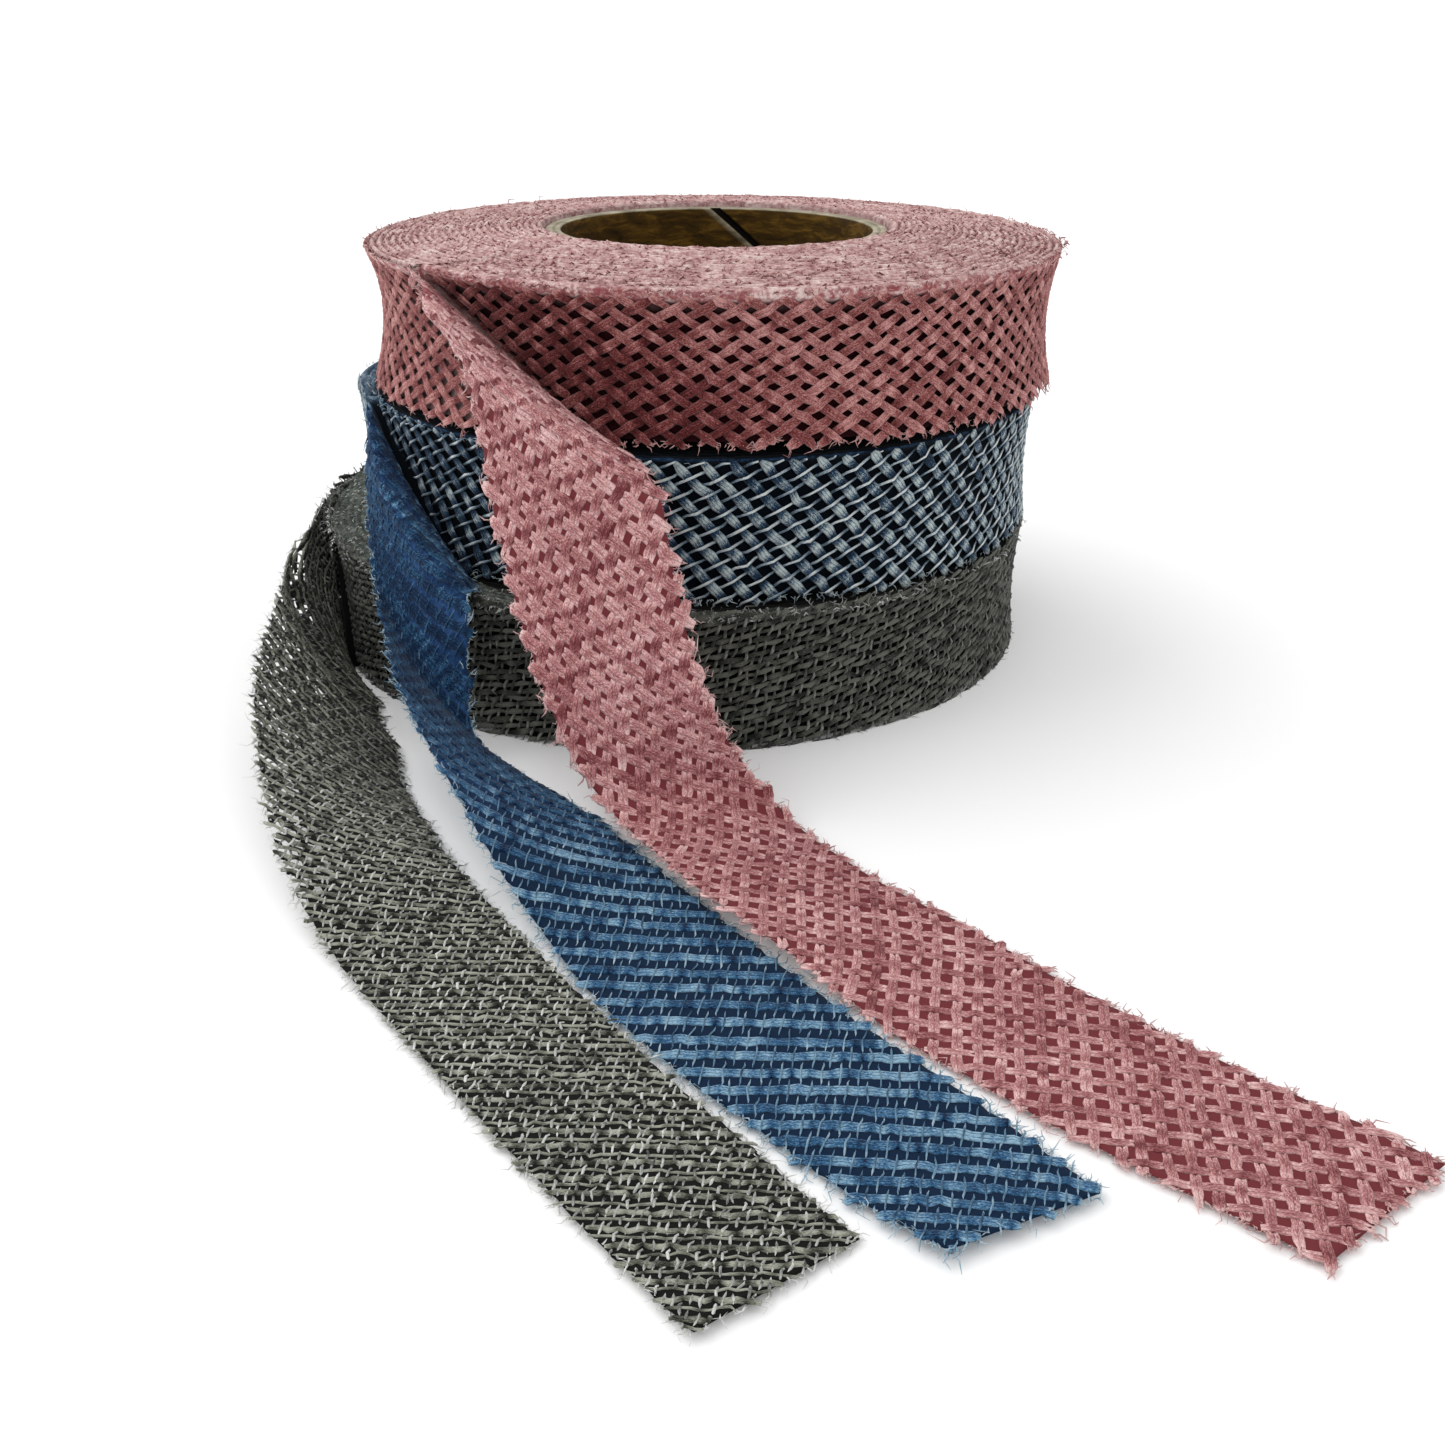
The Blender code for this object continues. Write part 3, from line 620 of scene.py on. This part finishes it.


# Cloth seen between the yarns and inside the rolls: the same cotton, matted and in shadow, its deep
# colours painted shade. wall is the near-black painted shade in the hollow of a wound roll, face its
# top, hem the rim where it turns in, and hang and tail the cloth of the loose end, tail being its
# deep colour between the yarns, partly matted fibres and partly painted shade.
groundColours = {
    "pink": dict(wall="#24060a", hem="#8d4a4d", face=("#875c5e", "#c29c99", "#e4d0cb"), tail="#6c3034",
                 hang=("#6f3339", "#94565a", "#b7797b")),
    "blue": dict(wall="#040a12", hem="#2c4460", face=("#22384c", "#526a80", "#8ea1ae"), tail="#10233a",
                 hang=("#12233f", "#1d3960", "#355480")),
    "gray": dict(wall="#070806", hem="#4a4d48", face=("#282b28", "#555a54", "#80857d"), tail="#161715",
                 hang=("#151615", "#242522", "#3b3c38")),
}


def groundMaterial(name, deepShade, tones, hem):
    # Matted cotton: 0.7 * tufts + 0.3 * patches picks its colour from three where the cloth shows its
    # face, and it is one deep colour in the hollows, as painted shade.
    material, tree, shader = startMaterial(name, Roughness=0.95, Specular_IOR_Level=0.03, Sheen_Weight=0.03,
                                           Sheen_Roughness=0.6)
    place = addNode(tree, "TexCoord", out="Object")
    face, turnedIn = [addNode(tree, "Attribute", out="Fac", attribute_name=key) for key in ("face", "hem")]
    # matted fibres in tufts of about 0.7 mm and patches of about 4 mm
    fluff = addNode(tree, "TexNoise", {"Vector": place, "Scale": 1400.0, "Detail": 4.0, "Roughness": 0.7})
    patch = addNode(tree, "TexNoise", {"Vector": place, "Scale": 260.0, "Detail": 2.0})
    tuft = addNode(tree, "Math", {0: fluff, 1: 0.7}, operation="MULTIPLY")
    mixed = addNode(tree, "Math", {0: patch, 1: 0.3, 2: tuft}, operation="MULTIPLY_ADD")
    matted = addNode(tree, "ValToRGB", {"Fac": mixed}, stops=list(zip((0.36, 0.5, 0.64), tones)))
    colour = addNode(tree, "Mix", {"Factor": face, 6: srgb(deepShade), 7: matted}, **inColour)
    # the rim's own colour shows between the palest tufts
    between = addNode(tree, "MapRange", {"Value": mixed, "From Min": 0.42, "From Max": 0.58,
                                         "To Min": 1.0, "To Max": 0.1})
    share = addNode(tree, "Math", {0: turnedIn, 1: between}, operation="MULTIPLY")
    colour = addNode(tree, "Mix", {"Factor": share, 6: colour, 7: srgb(hem)}, **inColour)
    bump = addNode(tree, "Bump", {"Height": fluff, "Strength": 0.6, "Distance": 0.0002})
    tree.links.new(colour, shader.inputs["Base Color"])
    tree.links.new(bump, shader.inputs["Normal"])
    return material


# The wound cloth: columns round the roll, the cloth's layer and the rings of points in one, how far
# in from the rim the ridges reach and how high they are, the number of cut ends standing on them, how
# far the outermost sinks, how much paler the hollows are painted where the cloth leaves (painted
# light), and rings in the rim's colour.
rollForms = {
    "pink": dict(columns=300, layer=0.83, rings=4, reach=21.0, ridge=0.34, fluff=6000, sunk=0.0,
                 lit=0.4, hem=3),
    "blue": dict(columns=240, layer=0.83, rings=3, reach=7.0, ridge=0.3, fluff=2600, sunk=0.25,
                 lit=0.0, hem=1),
    "gray": dict(columns=260, layer=0.9, rings=3, reach=12.0, ridge=0.3, fluff=4200, sunk=0.25,
                 lit=0.0, hem=0),
}


def topHeight(roll, radius):
    # The top face: flat near the wall and rising by a quarter of a sine wave to the crown at the bore.
    flatTo = roll["radius"] - 2.5
    share = np.clip((flatTo - radius) / (flatTo - strip["bore"]), 0, 1)
    return strip["width"] + roll["lip"] + roll["crown"] * np.sin(share * np.pi / 2)


def pastRim(roll, points):
    # How far outside a roll's rim the points stand, as seen from above.
    return np.hypot(points[..., 0] - roll["x"], points[..., 1] - roll["y"]) - roll["radius"]


def roundFaces(columns, count):
    # Quads between each column of a closed outline and the next, the last one joined to the first.
    start = np.arange(columns)[:, None] * count
    after = (np.arange(columns) + 1)[:, None] % columns * count
    ring = np.arange(count)
    beyond = (ring + 1) % count
    faces = np.stack([start + ring, after + ring, after + beyond, start + beyond], axis=-1)
    return faces.reshape(-1, 4).tolist()


def rollBody(colour, above, material):
    # One ring of the roll's outline for each column: up the bore's foot, out under the foot, up the
    # wall, and in over the wound edges, which stand up as ridges that close in by a layer a turn:
    # ridge = |sin(pi * ((rim - radius) / layer + turn / 360))| ^ 0.8.
    roll, form = rolls[colour], rollForms[colour]
    # the last column stands 0.6 mm short of the first
    turn = np.linspace(0.0, 360.0 - math.degrees(0.6 / roll["radius"]), form["columns"])[:, None]
    bore, radius = strip["bore"], roll["radius"]
    plain = np.full(len(turn), 0.6)
    rings = []
    for distance, height, slant in ((bore, 0.35, 0.0), ((bore + radius) / 2, 0.05, 0.4),
                                    (radius - 7.0, roll["rim"] * 0.9 + 0.05, 0.8)):
        degrees = leavingAngle(roll, 0.5 - 0.5 * slant) + turn
        rings.append((onCylinder(roll, degrees, distance, height)[:, 0], plain))
    # share of the height, recess and matting: hollow behind the yarns, coloured near black as painted
    # shade, closing to their own face in the last millimetre under the rim, where the crowned roll's
    # cloth turns in a little higher
    wallRings = [(share, 0.95, 0.0) for share in (0.02, 0.1, 0.25, 0.4, 0.55, 0.7, 0.85)]
    wallRings += [(0.925, 0.85, 0.1)]
    wallRings += ([(0.95, 0.5, 0.6), (0.975, 0.3, 1.0), (1.01, 0.3, 1.0)] if roll["crown"]
                  else [(0.95, 0.5, 0.75), (0.975, 0.33, 1.0)])
    # painted light: the hollows are coloured paler over the turn's last 60 degrees before the cloth leaves
    lit = form["lit"] * smoothStep((turn[:, 0] - 300.0) / 40.0)
    for share, recess, matted in wallRings:
        height = roll["rim"] + (strip["width"] - roll["rim"]) * share
        hollow = wallRadius(roll, turn, share) - recess
        rings.append((onCylinder(roll, leavingAngle(roll, share) + turn, hollow, height)[:, 0],
                      np.maximum(matted, lit)))
    rimRings = slice(len(rings) - form["hem"], len(rings))
    inner = np.arange(radius - 0.75, radius - 0.75 - form["reach"], -form["layer"] / form["rings"])
    inner = inner[inner > bore + 0.3]
    if inner[-1] > bore + 2.0:
        inner = np.concatenate([inner, np.linspace(inner[-1], bore + 0.5, 6)[1:]])
    outer = wallRadius(roll, turn, 1.0)
    for distance in inner:
        slant = (distance - bore) / (radius - bore)
        degrees = leavingAngle(roll, 0.5 + 0.5 * slant) + turn
        placed = bore + (distance - bore) * (outer - bore) / (radius - bore)
        phase = (radius - placed) / form["layer"] + turn / 360.0
        ridge = np.abs(np.sin(np.pi * phase)) ** 0.8
        uneven = softNoise(np.radians(degrees) * distance, phase * 7.0, 5, 6.0)
        crumb = softNoise(np.radians(degrees) * distance, phase * 3.0, 6, 1.3)
        nearRim = 1 + 1.5 * math.exp(-(radius - distance) / 1.6)
        height = (topHeight(roll, distance) + form["ridge"] * nearRim * (ridge - 0.7) + 0.09 * uneven
                  + 0.06 * crumb - form["sunk"] * math.exp(-((radius - distance) / 0.9) ** 2))
        # the grooves between the ridges turn towards the hollows' deep colour: painted shade
        rings.append((onCylinder(roll, degrees, placed, height)[:, 0],
                      np.clip(1 - (1 - ridge[:, 0]) * 0.5 * nearRim, 0, 1)))
    degrees, height = leavingAngle(roll, 0.5) + turn, topHeight(roll, bore) - 0.2
    rings.append((onCylinder(roll, degrees, bore, height)[:, 0], plain))
    points, face = (np.stack(part, axis=1) for part in zip(*rings))
    if above:
        # painted shade: dark under the roll above, in the hollows' deep colour
        face = face * np.where(points[..., 2] > roll["base"] + nearTop,
                               smoothStep((pastRim(above, points) + 0.5) / 0.7), 1.0)
    hem = np.zeros_like(face)
    hem[:, rimRings] = 1.0
    piece = addPiece(colour + "_wound_cloth", points.reshape(-1, 3), roundFaces(*face.shape), material,
                     colour + "_cloth", face=face.reshape(-1), hem=hem.reshape(-1))
    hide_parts(colour + "_roll")


def bentHairs(name, roots, headings, bends, widths, tones, walls, normals, material, slot):
    # Three-point hairs: root, middle and tip, where the middle is root + heading / 2 + bend.
    count = len(roots)
    courses = np.stack([roots, roots + headings / 2 + bends, roots + headings], axis=1)
    courses[..., 2] = np.maximum(courses[..., 2], 0.08)
    width = (widths[:, None] * np.array([1.0, 0.9, 0.45])).reshape(-1)
    yarns = dict(centre=courses.reshape(-1, 3), normal=np.repeat(normals, 3, axis=0), width=width,
                 thick=width * 0.8, along=np.tile([0.0, 0.5, 1.0], count) + np.repeat(roots[:, 0] * 7.3, 3),
                 tone=np.repeat(np.clip(tones, 0, 1), 3), wall=np.repeat(walls, 3),
                 run=np.repeat(np.arange(count), 3))
    return sweepYarns(name, yarns, "hair", material, slot)


def edgeFluff(colour, above, material, seed):
    # Cut yarn ends on the top face, as far as it shows beside the roll above: short bent strands,
    # rooted on the ridges and leaning any way.
    roll, form = rolls[colour], rollForms[colour]
    randoms = np.random.default_rng(seed)
    inner = max(strip["bore"] + 0.5, roll["radius"] - form["reach"])
    radius = np.sqrt(randoms.uniform(inner ** 2, (roll["radius"] - 0.4) ** 2, form["fluff"]))
    degrees = randoms.uniform(0, 360, form["fluff"])
    height = topHeight(roll, radius) - 0.12 + randoms.uniform(-0.08, 0.1, form["fluff"])
    root = onCylinder(roll, degrees, radius, height)
    if above:
        shows = pastRim(above, root) > -0.6
        root, radius, degrees = root[shows], radius[shows], degrees[shows]
    count = len(root)
    root[:, 2] -= 0.2 * np.exp(-((roll["radius"] - radius) / 1.0) ** 2)
    turned = np.radians(degrees + 90) + randoms.normal(0, 0.9, count)
    reach = randoms.uniform(0.3, 1.1, count)
    level = np.stack([np.cos(turned), np.sin(turned), np.zeros(count)], axis=-1)
    heading = level * reach[:, None] + np.array([0.0, 0.0, 0.08])
    bend = np.stack([-level[:, 1], level[:, 0], np.zeros(count)], axis=-1)
    bend *= randoms.normal(0, 0.18, count)[:, None]
    bend[:, 2] = randoms.uniform(0.03, 0.33, count)
    up = np.tile([0.0, 0.0, 1.0], (count, 1))
    width, tone = randoms.uniform(0.06, 0.15, count), randoms.normal(0.55, 0.22, count)
    bentHairs(colour + "_cut_ends", root - heading / 2, heading, bend, width, tone, np.full(count, 0.25), up,
              material, colour + "_cloth")


def frayEdges(form, above, families, material, seed, each, spacing, stout):
    # Frayed cut ends: a few hairs fan out of the end of every yarn along its own direction, and
    # more hairs leave the two long edges between them, leaning and curling any way.
    randoms = np.random.default_rng(seed)
    colour = form["colour"]
    hairs = []
    for yarns in families:
        _, first, last = yarnEnds(yarns["run"])
        for ends, inward in ((first, 1), (last, -1)):
            ends = np.repeat(np.flatnonzero(ends), each)
            direction = unit(yarns["centre"][ends] - yarns["centre"][ends + inward])
            normal = yarns["normal"][ends]
            side = np.cross(normal, direction)
            count = len(ends)
            root = (yarns["centre"][ends] - direction * 0.15
                    + side * (yarns["width"][ends] * randoms.uniform(-0.9, 0.9, count))[:, None])
            reach = randoms.gamma(3.0, 0.17, count).clip(0.15, 1.1)[:, None]
            heading = reach * (direction + side * randoms.normal(0, 0.5, count)[:, None]
                               + normal * randoms.normal(0.05, 0.25, count)[:, None])
            hairs.append((root, heading, normal, yarns["wall"][ends] * 0.6))
    count = 2 * int((form["flatEnd"] + form["turnLength"]) / spacing)
    top = np.arange(count) % 2 == 0
    h = np.where(top, 0.985, 0.015)
    first, last = np.interp(h, form["shares"], form["begin"]), np.interp(h, form["shares"], form["end"])
    loose = randoms.uniform(0, 1, count) < 0.6  # more of them on the loose end than on the wall
    first = np.where(loose, np.interp(h, form["shares"], form["leave"]) - 4.0, first + 8.0)
    u = first + (np.where(loose, last - 0.5, 4.0) - first) * randoms.uniform(0, 1, count)
    root = readGrid(form, "grid", u, h)
    normal = readGrid(form, "normal", u, h)
    out = unit(root - readGrid(form, "grid", u, np.where(top, 0.9, 0.1)))
    forward = unit(readGrid(form, "grid", u + 0.2, h) - root)
    reach = randoms.gamma(2.2, 0.2, count).clip(0.15, 1.2)[:, None]
    heading = reach * (out + forward * randoms.normal(0, 0.9, count)[:, None]
                       + normal * randoms.normal(0, 0.3, count)[:, None])
    hairs.append((root, heading, normal, wallToTail(0.6, readGrid(form, "past", u, h)[:, 0])))
    roots, headings, normals, walls = (np.concatenate(part) for part in zip(*hairs))
    if above:
        covered = (pastRim(above, roots) < -0.2) & (roots[:, 2] > form["roll"]["base"] + nearTop)
        roots, headings, normals, walls = (part[~covered] for part in (roots, headings, normals, walls))
    count = len(roots)
    bends = np.cross(normals, headings) * randoms.normal(0, 0.25, count)[:, None]
    return bentHairs(colour + "_fray", roots, headings, bends, randoms.uniform(0.035, 0.075, count) * stout,
                     randoms.normal(0.85, 0.17, count), walls, normals, material, colour + "_cloth")


# The card tube in the top roll, and the gap of its wound paper: where it starts at the top, how
# far it climbs in a turn, and its width and depth.
cardTube = dict(inner=19.0, outer=20.9, inset=0.3, gapAt=90.5, climb=100.0, gap=1.3, depth=0.6)
# inside is darker than the cut rim, in part as painted shade inside the tube, and gap is painted near black
# as the shade in the gap of the wound paper
cardColours = dict(inside=("#271904", "#45300b", "#72531c"), rim=("#6d6654", "#978f7b", "#bab39f"),
                   gap="#080603")


def cardMaterial():
    # Spirally wound kraft paper: brown, matte, with fibres lying near level, paler where it is cut.
    # Inside the tube it is darker, in part as painted shade, and the gap of the wound paper is painted
    # near black as shade.
    material, tree, shader = startMaterial("card_tube", Roughness=0.85, Specular_IOR_Level=0.15)
    place = addNode(tree, "TexCoord", out="Object")
    zone, hollow = [addNode(tree, "Attribute", out="Fac", attribute_name=key) for key in ("face", "hollow")]
    # fibres about 4 mm long and 1 mm apart, drawn coarser than real so that they show
    flat = addNode(tree, "Mapping", {"Vector": place, "Scale": (260.0, 260.0, 900.0)})
    fibre = addNode(tree, "TexNoise", {"Vector": flat, "Scale": 1.0, "Detail": 5.0, "Roughness": 0.7,
                                       "Distortion": 0.6})
    inside, rim = [addNode(tree, "ValToRGB", {"Fac": fibre}, stops=list(zip((0.3, 0.5, 0.7), tones)))
                   for tones in (cardColours["inside"], cardColours["rim"])]
    colour = addNode(tree, "Mix", {"Factor": zone, 6: inside, 7: rim}, **inColour)
    colour = addNode(tree, "Mix", {"Factor": hollow, 6: colour, 7: srgb(cardColours["gap"])}, **inColour)
    bump = addNode(tree, "Bump", {"Height": fibre, "Strength": 0.5, "Distance": 0.0002})
    tree.links.new(colour, shader.inputs["Base Color"])
    tree.links.new(bump, shader.inputs["Normal"])
    return material


def cardCore(material):
    # The tube's outline turned about the roll's axis, its columns slanting with the paper's gap:
    # angle = gapAt + column - (top - height) / climb of a turn.
    roll, inner, outer = rolls["pink"], cardTube["inner"], cardTube["outer"]
    foot, top = cardTube["inset"], strip["width"] + roll["crown"] - cardTube["inset"]
    half, edge, lip = (math.degrees(width / inner) for width in (cardTube["gap"] / 2, 0.05, 0.35))
    column = np.concatenate([[-half - edge, -half, half, half + edge],
                             np.linspace(half + edge + lip, 360 - half - edge - lip, 140)])
    inGap = (abs(column) <= half + 1e-6).astype(float)
    paleLip = ((column > half + 0.5 * edge) & (column < half + edge + 1.01 * lip)).astype(float)
    rows = 24
    # distance, height, how pale and how dark: up the bore, over the rim and down the outside
    outline = [(inner, height, 0.0, 0.0) for height in np.linspace(foot, top - 0.15, rows)]
    outline += [(inner + 0.12, top, 1.0, 0.0), (inner + 0.5, top + 0.03, 1.0, 0.0),
                (inner + 0.85, top, 0.8, 0.25), (inner + 0.95, top, 0.8, 0.25),
                (inner + 1.1, top + 0.03, 1.0, 0.0), (outer - 0.15, top, 1.0, 0.0),
                (outer, top - 0.2, 1.0, 0.0)]
    outline += [(outer, height, 0.0, 0.0) for height in np.linspace(top - 1.0, foot, rows - 1)]
    rings = []
    for index, (distance, height, pale, dark) in enumerate(outline):
        inside = index < rows
        degrees = cardTube["gapAt"] + column - (top - height) / cardTube["climb"] * 360.0
        sunk = cardTube["depth"] * inGap * (index <= rows)
        rings.append((onCylinder(roll, degrees, distance + sunk, height),
                      np.maximum(pale, 0.6 * paleLip) if inside else np.full(len(column), pale),
                      inGap if inside else np.full(len(column), dark)))
    points, zone, hollow = (np.stack(part, axis=1) for part in zip(*rings))
    piece = addPiece("card_core", points.reshape(-1, 3), roundFaces(*zone.shape), material, "core_card",
                     face=zone.reshape(-1), hollow=hollow.reshape(-1))
    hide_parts("pink_core")


def tailGround(form, material):
    # The matted fibres between the yarns of the loose end, their dark colour partly painted shade in the
    # holes: a thin sheet on the cloth's middle, its edges ragged, and worn open in the gray cloth's bend.
    colour = form["colour"]
    h = np.linspace(0.0, 1.0, 27)[None, :]
    share = np.linspace(0.0, 1.0, int(form["flatEnd"] / 0.6))[:, None]
    first = np.interp(h, form["shares"], form["leave"])
    last = np.interp(h, form["shares"], form["end"])
    u = first + 0.3 + (last - first - 1.0) * share
    foot, top = (0.012 + 0.008 * softNoise(u, 0 * u + line, seed, size)
                 for line, seed, size in ((3.0, 11, 2.3), (9.0, 12, 2.1)))
    place = foot + (1 - foot - top) * h
    points = readGrid(form, "grid", u, place)
    rows, columns = u.shape
    corner = (np.arange(rows - 1)[:, None] * columns + np.arange(columns - 1)).ravel()
    faces = np.stack([corner, corner + columns, corner + columns + 1, corner + 1], axis=-1)
    distance = readGrid(form, "past", u, place)[..., 0]
    hang = (np.exp(-((distance - 3.0) / 8.0) ** 2) if colour == "pink"
            else zoned((1.0, 1.0, 0.0, 0.0), distance))
    if colour == "gray":
        randoms = np.random.default_rng(31)
        lifted = points[:-1, :-1, 2].ravel() > 2.2
        side = np.broadcast_to(h, u.shape)[:-1, :-1].ravel()
        past = distance[:-1, :-1].ravel() > form["foldEnd"]
        dropped = lifted & past & (randoms.uniform(0, 1, len(faces)) < 0.55 * side ** 3)
        faces = faces[~dropped]
    piece = addPiece(colour + "_loose_end", points.reshape(-1, 3), faces.tolist(), material,
                     colour + "_cloth", face=hang.ravel())
    thicken = piece.modifiers.new("thickness", "SOLIDIFY")
    thicken.thickness = 0.05 * mm
    thicken.offset = 0.0
    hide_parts(colour + "_tail")
    return piece


# Hairs from each yarn's end, how far apart the edge hairs stand, and how thick all of them are.
frays = {
    "pink": dict(each=4, spacing=0.6, stout=1.5),
    "blue": dict(each=3, spacing=0.45, stout=1.15),
    "gray": dict(each=2, spacing=0.8, stout=0.9),
}


forms = {colour: makeStrip(colour) for colour in rolls}
above = {"pink": None, "blue": rolls["pink"], "gray": rolls["blue"]}
yarnFinishes = {"pink": ("pink", "pink"), "blue": ("blueThread", "blueYarn"),
                "gray": ("grayThread", "grayYarn")}
for seed, (colour, form) in enumerate(forms.items()):
    print(colour, "strip: loose end", round(form["flatEnd"]), "mm, outer turn", round(form["turnLength"]))
    slot, roof = colour + "_cloth", above[colour]
    threadFinish, yarnFinish = [yarnMaterial(colour + "_cotton_" + which, yarnColours[name])
                                for which, name in zip(("first", "second"), yarnFinishes[colour])]
    ground = groundColours[colour]
    bodyFinish = groundMaterial(colour + "_wound_cotton", ground["wall"], ground["face"], ground["hem"])
    sheetFinish = groundMaterial(colour + "_matted_cotton_and_shade", ground["tail"], ground["hang"], ground["hem"])
    families = [weaveFamily(form, "first", 100 + seed), weaveFamily(form, "second", 200 + seed)]
    first = sweepYarns(colour + "_warp", families[0], weaves[colour]["first"]["section"], threadFinish, slot)
    second = sweepYarns(colour + "_weft", families[1], weaves[colour]["second"]["section"], yarnFinish, slot)
    rollBody(colour, roof, bodyFinish)
    edgeFluff(colour, roof, threadFinish, 300 + seed)
    fray = frayEdges(form, roof, families, threadFinish, 400 + seed, **frays[colour])
    sheet = tailGround(form, sheetFinish)
    print(colour, "woven")
cardCore(cardMaterial())
print("core made")


def addStage(name, corners, glow):
    # A plain white card of four corners, glowing a little so that it reads as paper in bright light.
    mesh = bpy.data.meshes.new(name)
    mesh.from_pydata(corners, [], [(0, 1, 2, 3)])
    card = addObject(name, mesh)
    material, _, shader = startMaterial(name + "_paper", Roughness=0.8, Specular_IOR_Level=0.1)
    shader.inputs["Base Color"].default_value = (0.95, 0.95, 0.95, 1.0)
    shader.inputs["Emission Color"].default_value = (1.0, 1.0, 1.0, 1.0)
    shader.inputs["Emission Strength"].default_value = glow
    mesh.materials.append(material)


def addSun(name, strength, spread, toward):
    # A broad soft light from one side: its own -Z axis points the way the light goes.
    data = bpy.data.lights.new(name, "SUN")
    data.energy = strength
    data.angle = math.radians(spread)
    back = unit(-np.array(toward, float))
    side = unit(np.cross([0.0, 0.0, 1.0], back))
    addObject(name, data).matrix_world = turnedTo(side, np.cross(back, side), back)


addStage("table", [(-30, -30, 0), (30, -30, 0), (30, 30, 0), (-30, 30, 0)], 0.03)
addStage("far_card", [(-30, 20, 0), (30, 20, 0), (30, 20, 0.3), (-30, 20, 0.3)], 0.4)
addSun("window", 1.2, 72.0, (0.72, -0.27, -0.64))
world = bpy.data.worlds.new("white_room")
world.use_nodes = True
world.node_tree.nodes["Background"].inputs["Color"].default_value = (1.0, 1.0, 1.0, 1.0)
world.node_tree.nodes["Background"].inputs["Strength"].default_value = 0.99
bpy.context.scene.world = world
bpy.context.scene.view_settings.view_transform = "Standard"
